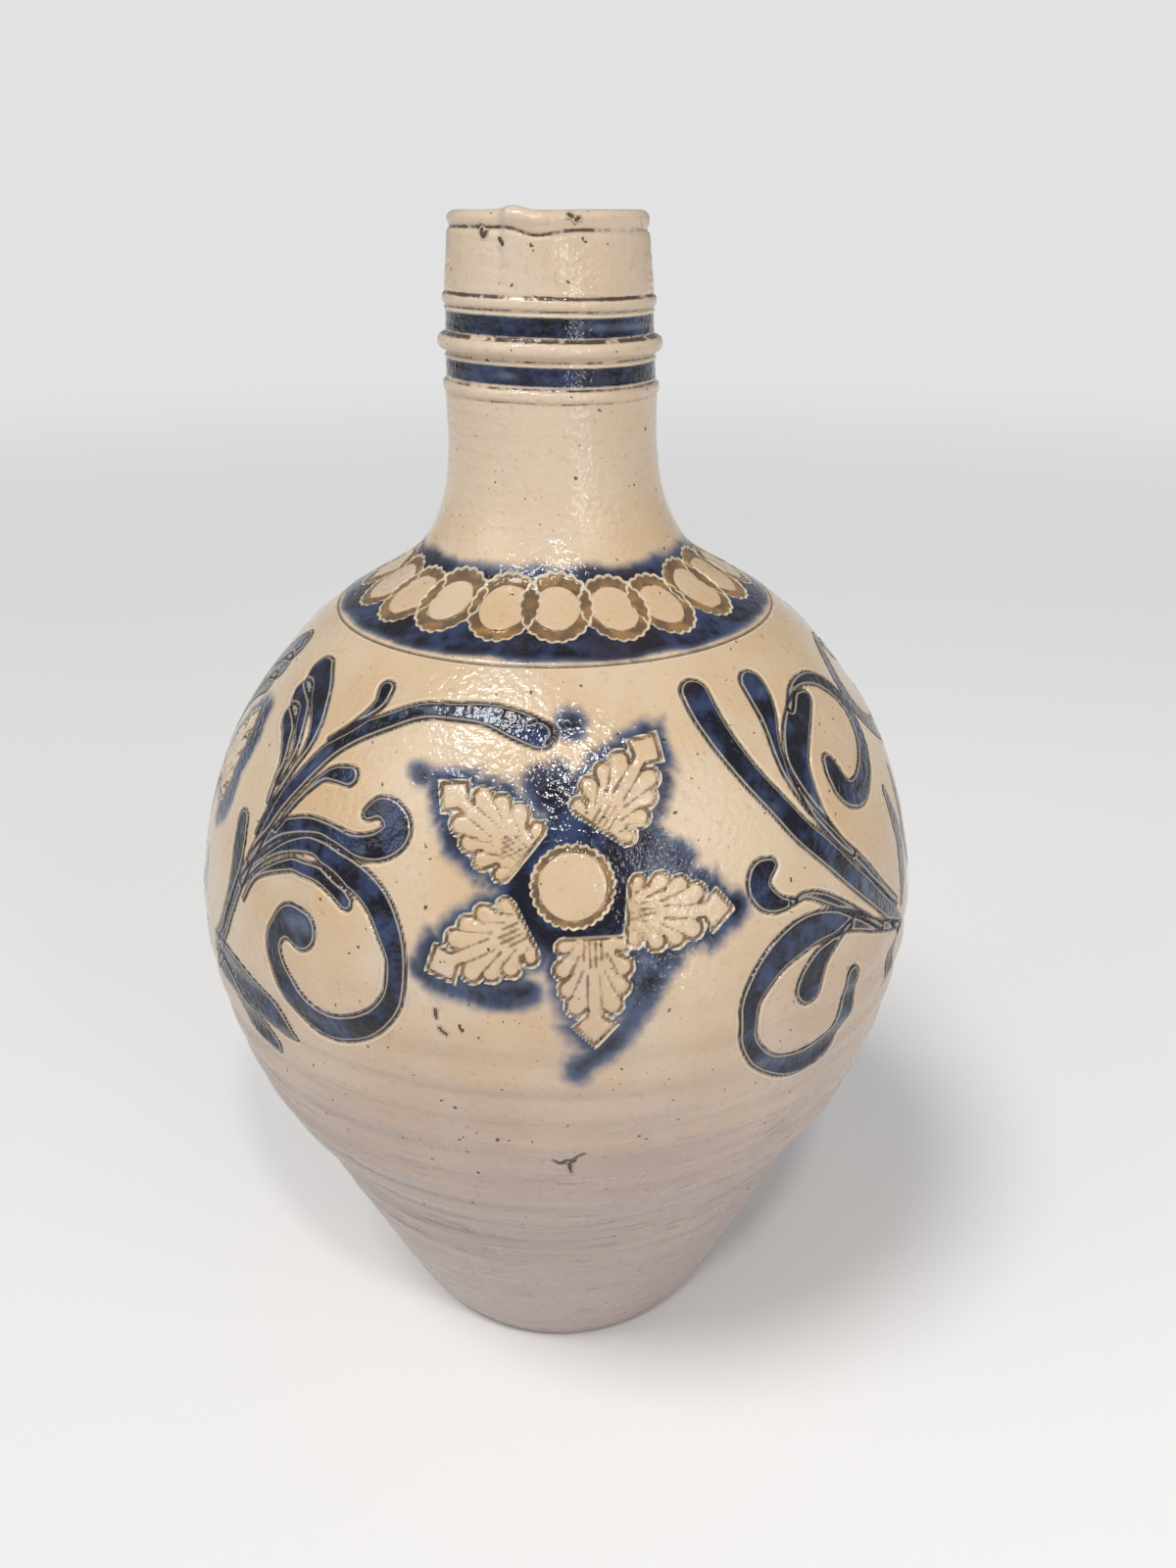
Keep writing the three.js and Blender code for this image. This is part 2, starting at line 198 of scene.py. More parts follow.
# Frieze of overlapping ring stamps round the foot of the neck
frieze = {
    "first": 11.9, "count": 20, "middle": 299.4, "disc": 7.3, "outer": 10.7, "scallops": 20,
    "scallopRise": 0.35, "stretch": 1.2, "sway": 0.9, "swayTurn": 2.4, "dropTurn": 1.7, "dropShare": 0.7,
    "sizeShare": 0.4, "line": 288.6, "washLow": 289.6, "washHigh": 309.4,
}

# Drawn marks: half the width of each kind of line, and how far each kind is raised or sunk
lineHalf = 0.45
# The stamp, ring and band widths are for painted highlight lines along raised edges
markHalf = {"seamLine": 0.5, "stampHighlight": 0.3, "ringHighlight": 0.36, "bandHighlight": 0.3}
markRelief = {"cut": 0.42, "burr": 0.12, "keep": 0.3, "stamp": 0.5, "edge": 0.2, "vein": 0.15, "fill": 0.12}
burnIn = {"reach": 1.2, "level": 2.8}     # a stain above 1.5 is a burnt-in spot and isn't broken up
nowhere, farOff = -6.0, -9.0     # the value of a mark where there is none, and of a wash
smallestRadius = 30

# Colours as they look in the photo
colours = {
    "cream": "#d6c0a4",
    "warm": "#cbae8a",
    "pale": "#d3c3b3",
    "lower": "#b19e94",
    "lowerGrey": "#a89894",
    "cobaltDeep": "#11121f",
    "cobaltMid": "#303c5c",
    "cobaltPale": "#606c85",
    "brown": "#4a3018",
    "brownPale": "#8a6535",
    "speck": "#2a1a12",
    "burnt": "#2e2326",
    # Painted highlight: the pale colour of lit burrs and raised edges
    "ridgeHighlight": "#eadcc0",
    "bare": "#8d7d6c",
}


def paint(name):
    parts = [int(colours[name][i:i + 2], 16) / 255 for i in (1, 3, 5)]
    linear = [v / 12.92 if v <= 0.04045 else ((v + 0.055) / 1.055) ** 2.4 for v in parts]
    return (*linear, 1.0)


def smooth(value, low, high):
    share = np.clip((value - low) / (high - low), 0, 1)
    return share * share * (3 - 2 * share)


def bell(value, middle, half):
    return np.exp(-((value - middle) / half) ** 2)


def wrapped(azimuth):
    return (azimuth + 180) % 360 - 180


def alongOf(line):
    # The unit direction of a line at each of its points
    along = np.gradient(line, axis=0)
    return along / np.linalg.norm(along, axis=1)[:, None]


def addThing(name, data):
    thing = bpy.data.objects.new(name, data)
    bpy.context.scene.collection.objects.link(thing)
    return thing


def curveThrough(points, spacing):
    # Catmull-Rom through every point, in as many columns as the points have
    points = np.array(points, float)
    ends = np.vstack([2 * points[0] - points[1], points, 2 * points[-1] - points[-2]])
    rows = []
    for a, b, c, d in zip(ends, ends[1:], ends[2:], ends[3:]):
        count = max(2, int(np.linalg.norm((c - b)[:2]) / spacing) + 1)
        t = np.linspace(0, 1, count, endpoint=False)[:, None]
        rows.append(0.5 * (2 * b + (c - a) * t + (2 * a - 5 * b + 4 * c - d) * t ** 2
                           + (3 * b - a - 3 * c + d) * t ** 3))
    return np.vstack([*rows, points[-1]])


outlineCurve = curveThrough(body["outline"], 1.0)
arcAlong = np.concatenate([[0], np.cumsum(np.hypot(*np.diff(outlineCurve, axis=0).T))])


def radiusAt(height):
    return np.interp(height, outlineCurve[:, 0], outlineCurve[:, 1])


def arcAt(height):
    return np.interp(height, outlineCurve[:, 0], arcAlong)


def heightAt(arc):
    return np.interp(arc, arcAlong, outlineCurve[:, 0])


def onSurface(azimuth, height):
    turn = np.radians(azimuth)
    radius = radiusAt(height)
    return np.stack([radius * np.sin(turn), -radius * np.cos(turn), height], -1)


def softNoise(azimuth, height, seed, turns, rise):
    # A few sine waves that fit round the jug, for the unevenness of a hand-thrown wall
    maker = np.random.default_rng(seed)
    total = np.zeros_like(azimuth)
    waves = 7
    for _ in range(waves):
        around = maker.integers(1, turns + 1)
        up = maker.uniform(-1, 1) / rise
        total += np.sin(np.radians(azimuth) * around + height * up * 6.28 + maker.uniform(0, 6.28))
    return total / waves


def washesAlong(trails):
    # The blots of a brush that was dragged along each trail
    return [blot for trail in trails for blot in curveThrough(trail, 1.5)]


# What is drawn on the clay: filled strokes, soft washes, incised lines, stamped brown lines, the clay that a
# stamp keeps clean, iron-stained grooves, painted highlights on raised edges and the veins of stamped
# leaves.
# Each is kept as the depth inside the mark, for a patch of the surface given by azimuth and height arrays.
markNames = ("fill", "wash", "cut", "stamp", "keep", "stain", "edge", "vein")


class Marks:
    def __init__(self, azimuth, height):
        self.azimuth = azimuth
        self.height = height
        self.points = onSurface(azimuth, height)
        for name in markNames:
            setattr(self, name, np.full(azimuth.shape, farOff if name == "wash" else nowhere))

    def gather(self, name, inside, values):
        layer = getattr(self, name)
        layer[inside] = np.maximum(layer[inside], values)

    def near(self, azimuth, height, reach):
        # Which points of the patch lie within reach of a run of places
        reachTurn = np.degrees(reach / max(radiusAt(np.max(height)), smallestRadius)) + 1
        gap = wrapped(self.azimuth - (np.max(azimuth) + np.min(azimuth)) / 2)
        half = (np.max(azimuth) - np.min(azimuth)) / 2 + reachTurn
        return ((np.abs(gap) < half) & (self.height > np.min(height) - reach)
                & (self.height < np.max(height) + reach))

    def leaf(self, path):
        # A cut and filled leaf: its outline is incised, and cobalt fills it
        run = curveThrough(path, 0.35)
        inside = self.near(run[:, 0], run[:, 1], 16)
        if not inside.any():
            return
        points = self.points[inside]
        depth = np.full(len(points), farOff)
        for spot, half in zip(onSurface(run[:, 0], run[:, 1]), np.maximum(run[:, 2], 0.4)):
            depth = np.maximum(depth, half - np.sqrt(((points - spot) ** 2).sum(1)))
        self.gather("fill", inside, depth)
        self.gather("cut", inside, lineHalf - np.abs(depth))

    def line(self, path, stained=False):
        # A line that is cut, or only stained, with nothing filled in
        run = curveThrough([(a, h, 0) for a, h in path], 0.3)
        inside = self.near(run[:, 0], run[:, 1], 8)
        away = np.full(int(inside.sum()), -farOff)
        for spot in onSurface(run[:, 0], run[:, 1]):
            away = np.minimum(away, np.sqrt(((self.points[inside] - spot) ** 2).sum(1)))
        if stained:
            self.gather("stain", inside, np.where(away < burnIn["reach"], burnIn["level"] - away, nowhere))
        else:
            self.gather("cut", inside, lineHalf - away)

    def local(self, azimuth, height, lean, reach):
        # Flat coordinates round a place: across and along, turned by lean from upright
        inside = self.near(azimuth, height, reach)
        across = np.radians(wrapped(self.azimuth[inside] - azimuth)) * radiusAt(self.height[inside])
        along = arcAt(self.height[inside]) - arcAt(height)
        turn = math.radians(lean)
        u = across * math.cos(turn) - along * math.sin(turn)
        v = across * math.sin(turn) + along * math.cos(turn)
        return inside, u, v

    def leafStamp(self, azimuth, height, lean):
        shape = leafShape
        inside, u, v = self.local(azimuth, height, lean, shape["reach"])
        side = np.abs(u)

        def offLine(startAcross, start, endAcross, end):
            run = np.array([endAcross - startAcross, end - start])
            t = np.clip(((side - startAcross) * run[0] + (v - start) * run[1]) / (run @ run), 0, 1)
            return np.hypot(side - startAcross - t * run[0], v - start - t * run[1])

        foot = v + shape["footCut"]
        flank = shape["footHalf"] - shape["taper"] * v - side
        depth = np.minimum.reduce([foot, flank, shape["bodyEnd"] - v])
        inShare, downShare = shape["lobeStart"]
        for across, along, radius in shape["lobes"]:
            away = offLine(across * inShare, along * downShare - 1, across, along)
            depth = np.maximum(depth, radius - away)
        depth = np.maximum(depth, np.minimum(shape["stalkHalf"] - side, shape["stalkEnd"] - v))
        depth = np.minimum(depth, foot)
        rising = (shape["shoulder"] - shape["neckHalf"]) / (shape["shoulderAlong"] - shape["neck"])
        opening = (shape["neckHalf"] + (v - shape["neck"]) * rising - side) / math.hypot(rising, 1)
        # The tip's sides slope at 45 degrees
        tip = (shape["tip"] - v - side) * 0.71
        depth = np.maximum(depth, np.minimum.reduce([opening, tip, v - shape["tipStart"]]))
        self.gather("keep", inside, depth)
        self.gather("stamp", inside, lineHalf - np.abs(depth - 0.3))
        # The edge mark is a painted highlight along the raised rim round the stamp
        self.gather("edge", inside, markHalf["stampHighlight"] - np.abs(depth + 0.5))
        for start, end in shape["veins"]:
            vein = np.where(depth > 0.4, shape["veinHalf"] - offLine(*start, *end), nowhere)
            self.gather("vein", inside, vein)
        self.gather("wash", inside, depth + star["leafWash"])

    def ringStamp(self, azimuth, height, disc, outer, scallops, rise, stretch=1.0):
        inside, u, v = self.local(azimuth, height, 0, outer * 2.2)
        v = v / stretch
        away = np.hypot(u, v)
        edge = outer + rise * np.abs(np.sin(np.arctan2(u, v) * scallops / 2)) * 2 - rise
        depth = edge - away
        self.gather("stamp", inside, np.minimum(depth, away - disc))
        # The edge mark is a painted highlight along the scalloped outline
        self.gather("edge", inside, markHalf["ringHighlight"] - np.abs(depth))
        self.gather("keep", inside, np.where(depth > 0, 1.5, depth))

    def blot(self, azimuth, height, radius):
        inside, u, v = self.local(azimuth, height, 0, radius + 8)
        self.gather("wash", inside, radius - np.hypot(u, v))

    def drawStar(self, azimuth):
        middle = star["middle"]
        arc = arcAt(middle)
        for turn, rise, lean in star["leafTurns"]:
            self.leafStamp(azimuth + turn, heightAt(arc + rise), lean)
        self.ringStamp(azimuth, middle, star["disc"], star["scallopRadius"], star["scallops"],
                       star["scallopRise"])
        inside, u, v = self.local(azimuth, middle, 0, 40)
        self.gather("wash", inside, star["wash"] - np.hypot(u, v))
        for turn, rise, radius in [*star["washes"], *washesAlong(star["trails"])]:
            self.blot(azimuth + turn, heightAt(arc + rise), radius)

    def drawAll(self):
        self.drawStar(starAzimuth)
        for azimuth, height, lean in sideLeaves:
            self.leafStamp(azimuth, height, lean)
        for azimuth, height, radius in washesAlong(sideWashes):
            self.blot(azimuth, height, radius)
        for side, scrolls in (("left", leftScrolls), ("right", rightScrolls)):
            mirror = mirrorAzimuths[side]
            for path in scrolls.values():
                self.leaf(path)
                self.leaf([(2 * mirror - a, h, w) for a, h, w in path])
        self.blot(*archWash)
        self.line(archCurl)
        for path in ironMarks:
            self.line(path, stained=True)
        for i in range(frieze["count"]):
            # Pressed by hand, so no two sit quite alike
            sway = math.sin(i * frieze["swayTurn"]) * frieze["sway"]
            drop = math.cos(i * frieze["dropTurn"]) * frieze["sway"]
            self.ringStamp(frieze["first"] + i * 360 / frieze["count"] + sway,
                           frieze["middle"] + drop * frieze["dropShare"],
                           frieze["disc"] + sway * frieze["sizeShare"],
                           frieze["outer"] + drop * frieze["sizeShare"],
                           frieze["scallops"], frieze["scallopRise"], frieze["stretch"])
        arc = arcAt(self.height)
        lineGap = np.abs(arc - arcAt(frieze["line"]))
        self.gather("cut", ..., np.where(lineGap < -nowhere, markHalf["seamLine"] - lineGap, nowhere))
        band = np.minimum((arc - arcAt(frieze["washLow"])) * 1.8, (arcAt(frieze["washHigh"]) - arc) * 1.1)
        self.gather("wash", ..., np.clip(band + 1.0, farOff, -farOff))


print("values and drawing tools are ready")


# Outside of the jug: every section is a grid over azimuth and a path of heights and radii

# Throwing rings: how far each kind rises in one turn of its spiral
ringPitch = {"wide": 5.5, "narrow": 2.35, "broad": 13.5}


def throwingRings(azimuth, height):
    # Whole turns of phase round the jug, so that the rings wind up it as a spiral and still close
    turn = np.radians(azimuth)

    def spiral(height, pitch, phase):
        return np.sin(height * 2 * math.pi / ringPitch[pitch] + phase)

    rings = spiral(height, "wide", turn) * 0.6 + spiral(height, "narrow", 2 * turn) * 0.4
    # Plain to see low down, faint on the shoulder and a little stronger on the neck
    share = 0.2 + 0.8 * (1 - smooth(height, 150, 205)) + 0.15 * smooth(height, 312, 330)
    patchy = 0.65 + 0.7 * softNoise(azimuth, height, 11, 5, 60)
    fine = body["ridge"] * rings * share * patchy * (1 - bell(height, 300, 9)) * smooth(height, 2, 12)
    broad = spiral(height + 5 * softNoise(azimuth, height, 31, 3, 130), "broad", turn)
    return fine + body["swell"] * broad * smooth(height, 40, 90) * (1 - smooth(height, 165, 212))


def collarRelief(azimuth, height):
    tilt = math.sin(math.radians(body["collarTilt"])) * collar["radius"]
    tilted = height + tilt * np.sin(np.radians(azimuth))
    tilted = tilted + collar["uneven"] * softNoise(azimuth, height, 23, 4, 500)
    rise = np.zeros_like(height)
    for middle, half, proud in collar["beads"]:
        share = np.clip(1 - ((tilted - middle) / half) ** 2, 0, None)
        rise += proud * np.sqrt(share) * 0.85
    for low, high in collar["bands"]:
        starts = smooth(tilted, low - 0.4, low + 0.1)
        ends = smooth(tilted, high - 0.1, high + 0.4)
        rise -= collar["bandDepth"] * starts * (1 - ends)
    sag = lip["grooveSag"] * bell(azimuth, lip["middle"], lip["sagHalf"])
    for middle, half, depth in collar["grooves"]:
        own = tilted + sag if middle > collar["lipFrom"] else tilted
        rise -= depth * bell(own, middle, half)
    return rise, tilted, sag


def lipPull(azimuth, height):
    # Share of the pinch: it starts sharply at the crease and fades softly on the other side
    turn = wrapped(azimuth)
    starts = smooth(turn, lip["crease"] - 2, lip["crease"] + 5)
    ends = smooth(turn, lip["middle"], lip["soft"] + 8)
    down = np.clip((rimHeight - height) / lip["depth"], 0, 3)
    return starts * (1 - ends) * np.exp(-down ** 2)


def marksFor(azimuth, height, outsideShare):
    marks = Marks(azimuth, height)
    marks.drawAll()
    rise, tilted, sag = collarRelief(azimuth, height)
    collarShare = smooth(height, collarFoot, collarFoot + 5)
    for low, high in collar["bands"]:
        depth = np.minimum(tilted - low, high - tilted)
        marks.gather("wash", ..., np.where(height > collarFoot, depth - 0.8, farOff))
        marks.gather("fill", ..., np.where(height > collarFoot, depth, nowhere))
    # Painted highlights along the upper edges of the bands
    for middle in collar["highlightEdges"]:
        marks.gather("edge", ..., markHalf["bandHighlight"] - np.abs(tilted - middle))
    for middle, half in collar["stained"]:
        own = tilted + sag if middle > collar["lipFrom"] else tilted
        marks.gather("stain", ..., half - np.abs(own - middle))
    for key in markNames:
        # Nothing is drawn inside the neck
        setattr(marks, key, np.where(outsideShare > 0.4, getattr(marks, key), farOff))
    wobble = body["wobble"] * softNoise(azimuth, height, 5, 3, 260) * smooth(height, 0, 30)
    relief = wobble + throwingRings(azimuth, height) + rise * collarShare
    # A cut is a groove with a low burr on both sides
    cutAway = lineHalf - marks.cut
    relief -= markRelief["cut"] * bell(cutAway, 0, 0.55) - markRelief["burr"] * bell(cutAway, 1.15, 0.4)
    relief += (markRelief["keep"] * smooth(marks.keep, -0.3, 2.2)
               - markRelief["stamp"] * smooth(marks.stamp, -0.4, 0.5)
               + markRelief["edge"] * smooth(marks.edge, -0.3, 0.3))
    relief -= markRelief["vein"] * smooth(marks.vein, -0.2, 0.5)
    rollShare = bell(height, lip["rollHeight"], 2.6)
    relief += lip["roll"] * rollShare * bell(wrapped(azimuth), lip["rollAt"], lip["rollHalf"])
    relief += markRelief["fill"] * smooth(marks.fill, -0.2, 1.5) * (1 - collarShare)
    return relief * outsideShare, marks


def surfaceGrid(path, azimuths, outsideShare):
    # path holds height and radius, and one extra row at each end for the normals
    azimuth, height = np.meshgrid(azimuths, path[:, 0])
    relief, marks = marksFor(azimuth, height, outsideShare)
    along = alongOf(path)
    outRadius = path[:, 1:] + relief * along[:, :1] + lip["reach"] * lipPull(azimuth, height)
    z = height - relief * along[:, 1:]
    turned = wrapped(azimuth)
    nearTop = np.exp(-((rimHeight - np.minimum(height, rimHeight)) / lip["bendsFor"]) ** 2)
    peak = lip["peak"] * bell(turned, lip["peakAt"], lip["peakHalf"])
    z = z + nearTop * (peak - lip["dip"] * bell(turned, lip["dipAt"], lip["dipHalf"]))
    turn = np.radians(azimuth)
    lean = body["neckLean"] * smooth(height, 290, 400)
    x = outRadius * np.sin(turn) + lean
    y = -outRadius * np.cos(turn)
    return np.stack([x, y, z], -1), marks


def gridNormals(points):
    across = np.gradient(points, axis=1)
    up = np.gradient(points, axis=0)
    normal = np.cross(across, up)
    return normal / np.maximum(np.linalg.norm(normal, axis=2)[..., None], 1e-9)


def addMesh(name, grid, material, closed=True, flipped=False, normals=None, values=None):
    # A grid of points by row and column; a closed one joins its last column to its first
    index = np.arange(grid[..., 0].size).reshape(grid.shape[:2])
    if closed:
        index = np.hstack([index, index[:, :1]])
    faces = np.stack([index[:-1, :-1], index[:-1, 1:], index[1:, 1:], index[1:, :-1]], -1).reshape(-1, 4)
    if flipped:
        faces = faces[:, ::-1]
    mesh = bpy.data.meshes.new(name)
    mesh.from_pydata((grid.reshape(-1, 3) * mm).tolist(), [], faces.tolist())
    mesh.polygons.foreach_set("use_smooth", np.ones(len(mesh.polygons), bool))
    if normals is not None:
        mesh.normals_split_custom_set_from_vertices(normals.reshape(-1, 3).tolist())
    for key, column in (values or {}).items():
        layer = mesh.attributes.new(key, "FLOAT", "POINT")
        layer.data.foreach_set("value", column.astype(np.float32).ravel())
    mesh.update()
    mesh.materials.append(material)
    return addThing(name, mesh)


def addSection(name, path, azimuths, closed=False, outsideShare=1):
    # The outermost rows and columns only serve the normals, so that these agree across sections
    points, marks = surfaceGrid(path, azimuths, outsideShare)
    normals = gridNormals(points)[1:-1, 1:-1]
    values = {key: getattr(marks, key)[1:-1, 1:-1] for key in markNames}
    return addMesh(name, points[1:-1, 1:-1], ornamentGlaze, closed, False, normals, values)


def pathOutside(low, high, spacing):
    start, end = arcAt(low), arcAt(high)
    count = int((end - start) / spacing)
    step = (end - start) / count
    arcs = np.linspace(start - step, end + step, count + 3)
    heights = heightAt(np.maximum(arcs, 0))
    heights = np.where(arcs < 0, arcs, heights)
    return np.stack([heights, radiusAt(heights)], -1)


def ringOf(count):
    # A full turn with one extra column at each side
    step = 360 / count
    return np.arange(-1, count + 1) * step - 180


def arcOf(start, end, spacing):
    count = int(math.radians(end - start) * bellyRadius / spacing)
    step = (end - start) / count
    return start + np.arange(-1, count + 2) * step


class Wire:
    # A shader value that takes plain arithmetic
    def __init__(self, board, socket):
        self.board = board
        self.socket = socket

    def maths(self, operation, first, second):
        return self.board.add("ShaderNodeMath", {0: first, 1: second}, operation=operation)

    def __add__(self, other):
        return self.maths("ADD", self, other)

    def __radd__(self, other):
        return self.maths("ADD", self, other)

    def __sub__(self, other):
        return self.maths("SUBTRACT", self, other)

    def __rsub__(self, other):
        return self.maths("SUBTRACT", other, self)

    def __mul__(self, other):
        return self.maths("MULTIPLY", self, other)

    def ramp(self, low, high):
        # 0 below low and 1 above high, with soft ends
        return self.board.add("ShaderNodeMapRange", {"Value": self, "From Min": low, "From Max": high},
                              interpolation_type="SMOOTHSTEP")

    def above(self, other):
        return self.maths("MAXIMUM", self, other)


class Board:
    # The node tree of a material or of the world
    def __init__(self, owner):
        owner.use_nodes = True
        self.owner = owner
        self.nodes = owner.node_tree.nodes
        self.links = owner.node_tree.links

    def add(self, kind, values, output=0, **settings):
        node = self.nodes.new(kind)
        for key, value in settings.items():
            setattr(node, key, value)
        for key, value in values.items():
            if isinstance(value, Wire):
                self.links.new(value.socket, node.inputs[key])
            else:
                node.inputs[key].default_value = value
        return Wire(self, node.outputs[output])

    def attribute(self, name):
        return self.add("ShaderNodeAttribute", {}, "Fac", attribute_name=name)

    def place(self):
        # Place on the object in millimetres
        spot = self.add("ShaderNodeTexCoord", {}, "Object")
        return self.add("ShaderNodeVectorMath", {0: spot, "Scale": 1000}, operation="SCALE")

    def noise(self, spot, size, detail, rough, squash=None):
        if squash:
            spot = self.add("ShaderNodeVectorMath", {0: spot, 1: squash}, operation="MULTIPLY")
        values = {"Vector": spot, "Scale": 1 / size, "Detail": detail, "Roughness": rough}
        return self.add("ShaderNodeTexNoise", values, "Fac")

    def mix(self, share, first, second):
        return self.add("ShaderNodeMix", {0: share, 6: first, 7: second}, 2, data_type="RGBA")

    def heightOf(self, spot):
        return self.add("ShaderNodeSeparateXYZ", {0: spot}, 2)

    def out(self, **sockets):
        for key, value in sockets.items():
            target = self.nodes["Principled BSDF"].inputs[key.replace("_", " ")]
            if isinstance(value, Wire):
                self.links.new(value.socket, target)
            else:
                target.default_value = value


# Glaze: size in millimetres, detail and roughness of each pattern
patterns = {
    "broad": (70, 2, 0.55), "cloudy": (22, 4, 0.55), "streaks": (9, 3, 0.6), "peel": (2.3, 2, 0.5),
    "fine": (0.6, 2, 0.6), "mottle": (3.2, 3, 0.6), "threads": (4.2, 2, 0.5), "threadParts": (15, 2, 0.5),
    "rings": (2.2, 2, 0.5), "ragged": (2.6, 3, 0.6), "drift": (14, 1.5, 0.5), "fineDrift": (2.8, 2, 0.5),
    "pooled": (9, 3, 0.6), "lifted": (16, 2, 0.5), "burnt": (26, 2, 0.5), "pool": (6, 2, 0.5),
    "uneven": (5, 3, 0.6), "patchy": (7, 3, 0.6),
}
# The colour of each tint over the clay, and its strength
tints = {
    # The light and edge tints are painted highlights on burrs and raised edges
    "cloudy": ("pale", 0.6), "neck": ("pale", 0.34), "mottle": ("brownPale", 0.22), "thread": ("brown", 0.2),
    "burnt": ("burnt", 0.6), "light": ("ridgeHighlight", 0.4), "vein": ("brown", 0.7), "edge": ("ridgeHighlight", 0.75),
    "cut": ("speck", 0.82), "stained": ("speck", 0.9),
}
shares = {"thin": 0.82, "lifted": 0.7, "stamp": 0.86}
lumpRise = {"peel": 0.44, "fine": 0.02, "rings": 0.34, "thread": 0.16, "cut": 0.35, "stamp": 0.3}
gloss = {"roughness": 0.08, "cloudy": 0.08, "lowDown": 0.16, "filled": 0.06, "specular": 0.5}
specks = [(2.0, 0.75, 0.77, 0.85), (0.8, 0.775, 0.80, 0.75)]     # size, fade from and to, and strength


def glazeMaterial(name, ornamented):
    board = Board(bpy.data.materials.new(name))
    spot = board.place()
    height = board.heightOf(spot)

    def noise(name, squash=None):
        return board.noise(spot, *patterns[name], squash)

    def tint(under, share, name):
        colour, strength = tints[name]
        return board.mix(share * strength, under, paint(colour))

    broad = noise("broad")
    cloudy = noise("cloudy")
    streaks = noise("streaks", (0.1, 0.1, 1.5))

    # Upper part warm cream, lower part greyer and pinker, with drifting streaks along the throwing rings
    cream = board.mix(broad.ramp(0.35, 0.65), paint("warm"), paint("cream"))
    cream = tint(cream, cloudy.ramp(0.45, 0.75), "cloudy")
    grey = board.mix(streaks.ramp(0.3, 0.72), paint("lowerGrey"), paint("lower"))
    drift = height + (broad - 0.5) * 60 + (streaks - 0.5) * 26
    clay = board.mix(drift.ramp(95, 245), grey, cream)
    clay = tint(clay, height.ramp(300, 350), "neck")
    clay = tint(clay, noise("mottle").ramp(0.55, 0.8), "mottle")

    # Thin brown threads lie here and there along the rings, low on the body
    lowDown = 1 - height.ramp(120, 190)
    threads = noise("threads", (0.035, 0.035, 1))
    thread = (1 - threads.ramp(0.5, 0.515)) * threads.ramp(0.485, 0.5) * noise("threadParts").ramp(0.5, 0.6)
    clay = tint(clay, thread * lowDown, "thread")

    roughness = gloss["roughness"] + cloudy * gloss["cloudy"]
    roughness = roughness + (1 - height.ramp(130, 210)) * gloss["lowDown"]
    # The skin is like orange peel, with fine rings low down
    lumps = noise("peel") * lumpRise["peel"] + noise("fine") * lumpRise["fine"]
    lumps = lumps + noise("rings", (0.03, 0.03, 1)) * (1 - height.ramp(100, 180)) * lumpRise["rings"]
    lumps = lumps - thread * lowDown * lumpRise["thread"]
    if ornamented:
        fill, wash, cut, stamp, keep, stain, edge, vein = [board.attribute(key) for key in markNames]
        ragged = (noise("ragged") - 0.5) * 1.6
        drifting = (noise("drift") - 0.5) * 7 + (noise("fineDrift") - 0.5) * 2

        # Cobalt: filled strokes, soft washes and what bled out of the strokes, but none on a stamp
        saved = (keep + ragged * 0.2).ramp(-0.35, 0.25)
        filled = (fill + ragged * 0.35).ramp(-0.35, 0.45)
        depth = wash + drifting
        washed = depth.ramp(-2.0, 2.6)
        bleed = (fill + drifting * 0.6).ramp(-2.6, 0.6) * 0.3 * cloudy.ramp(0.45, 0.65)
        cobalt = filled.above(washed).above(bleed) * (1 - saved)

        # It is deep where it pooled, paler where it is thin or lifted, and purple brown where it burnt
        blue = board.mix(noise("pooled").ramp(0.42, 0.66), paint("cobaltDeep"), paint("cobaltMid"))
        thin = (1 - depth.ramp(-1.0, 5.8)) * (1 - filled)
        lifted = noise("lifted").ramp(0.55, 0.7) * fill.ramp(0.6, 3.0) * height.ramp(188, 212)
        paler = (thin * shares["thin"]).above(lifted * shares["lifted"])
        blue = board.mix(paler, blue, paint("cobaltPale"))
        blue = tint(blue, noise("burnt").ramp(0.52, 0.68) * height.ramp(225, 265), "burnt")
        clay = board.mix(cobalt, clay, blue)

        # Lines: a painted highlight on the burr beside each cut, then stamped lines, veins, painted
        # highlights on raised edges and the cuts
        light = (cut + ragged * 0.15).ramp(-0.9, -0.45) * (1 - (cut + ragged * 0.1).ramp(-0.35, 0.0))
        clay = tint(clay, light * (1 - washed * 0.7), "light")
        brown = board.mix(noise("pool").ramp(0.4, 0.68), paint("brown"), paint("brownPale"))
        uneven = (noise("uneven") - 0.5) * 3.2
        stamped = (stamp + uneven + 0.1).ramp(-0.2, 0.3) * stamp.ramp(-0.3, 0.1)
        clay = board.mix(stamped * shares["stamp"], clay, brown)
        clay = tint(clay, (vein + uneven * 0.5).ramp(-0.1, 0.5), "vein")
        # The edge tint is a painted highlight on raised edges
        clay = tint(clay, (edge + ragged * 0.1).ramp(-0.2, 0.15), "edge")
        clay = tint(clay, (cut + ragged * 0.18).ramp(-0.1, 0.32), "cut")

        # Iron stains are broken up along the grooves, and burnt-in spots are whole
        patchy = noise("patchy", (1, 1, 0.3))
        spotted = (stain + ragged * 0.6).ramp(1.95, 2.25)
        stained = (stain + ragged * 0.45).ramp(-0.1, 0.4) * patchy.ramp(0.36, 0.5)
        stained = (stained * (1 - stain.ramp(1.0, 1.5))).above(spotted)
        clay = tint(clay, stained, "stained")
        lumps = lumps - cut.ramp(-0.3, 0.35) * lumpRise["cut"] - stamp.ramp(-0.3, 0.3) * lumpRise["stamp"]
        roughness = roughness - filled * gloss["filled"]

